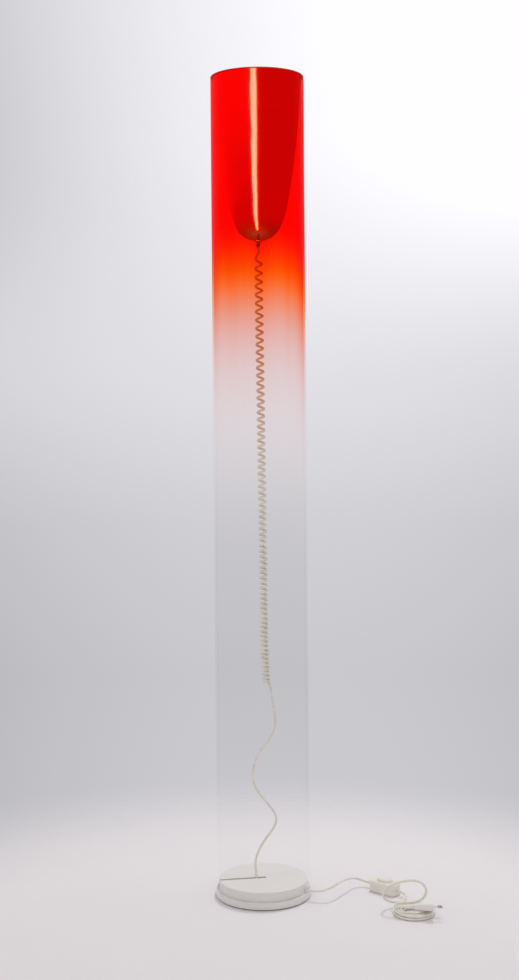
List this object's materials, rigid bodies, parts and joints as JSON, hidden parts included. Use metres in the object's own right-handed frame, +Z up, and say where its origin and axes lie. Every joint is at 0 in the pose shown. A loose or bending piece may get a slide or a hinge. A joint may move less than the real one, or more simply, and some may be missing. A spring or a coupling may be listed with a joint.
{
  "type": "tube floor lamp",
  "caption": "Free-standing lamp: a tinted clear tube on a round white base carries a lift-out bullet reflector with its bulb, fed by a curly cord and a lead with foot switch and plug.",
  "frame": {"origin": "middle of the base's underside, on the floor", "axes": "+Z up along the tube's axis, +X towards the side where the lead lies, -Y towards the viewer"},
  "size_m": [0.466, 0.2658, 1.756],
  "materials": {
    "tube_acrylic": "polished, tinted red at the top and clear below",
    "white_lacquer": "satin white lacquer",
    "foot_felt": "pressed felt",
    "ballast_iron": "grey primer",
    "screw_steel": "zinc plated",
    "cord_plastic": "soft cream sheath",
    "white_plastic": "moulded",
    "reflector_aluminium": "spun and polished",
    "holder_brass": "turned",
    "washer_rubber": "plain",
    "bulb_opal": "opal",
    "bulb_cap_metal": "pressed",
    "switch_plastic": "moulded cream",
    "plug_plastic": "moulded cream",
    "pin_nickel": "nickel plated"
  },
  "bodies": {
    "lamp_base": {"tube": "tube_acrylic", "base_plate": "white_lacquer", "base_cover": "white_lacquer", "felt_pad": "foot_felt", "ballast": "ballast_iron", "cover_screws": "screw_steel", "clamp_screws": "screw_steel", "switch_screws": "screw_steel", "switch_spring": "screw_steel", "cord_in_base": "cord_plastic", "inner_tail": "cord_plastic", "curly_cord": "cord_plastic", "lead_to_switch": "cord_plastic", "lead_to_coil": "cord_plastic", "lead_coil": "cord_plastic", "lead_loop": "cord_plastic", "exit_bush": "white_plastic", "cord_clamp": "white_plastic", "pin_sleeves": "white_plastic", "switch_contacts": "holder_brass", "switch_lower_case": "switch_plastic", "switch_upper_case": "switch_plastic", "plug_body": "plug_plastic", "plug_relief": "plug_plastic", "plug_pins": "pin_nickel"},
    "reflector_head": {"reflector": "reflector_aluminium", "nipple": "holder_brass", "seat_washer": "washer_rubber", "nose_nut": "holder_brass", "cord_grip": "washer_rubber", "cord_in_head": "cord_plastic", "holder_cap": "white_plastic", "holder_core": "white_plastic", "holder_skirt": "white_plastic", "screw_shell": "holder_brass", "centre_contact": "holder_brass", "bulb_tip": "holder_brass", "bulb_cap": "bulb_cap_metal", "bulb_glass": "bulb_opal"},
    "foot_button": {"switch_button": "switch_plastic"}
  },
  "joints": [
    {"name": "reflector_lift", "type": "slide", "parent": "lamp_base", "child": "reflector_head", "axis": [0, 0, 1], "range_m": [0, 0.4], "deforming": ["curly_cord"]},
    {"name": "switch_press", "type": "slide", "parent": "lamp_base", "child": "foot_button", "axis": [0, 0, -1], "range_m": [0, 0.003], "stiffness_N_per_m": 800, "springref_m": -0.002, "deforming": ["switch_spring"]}
  ]
}
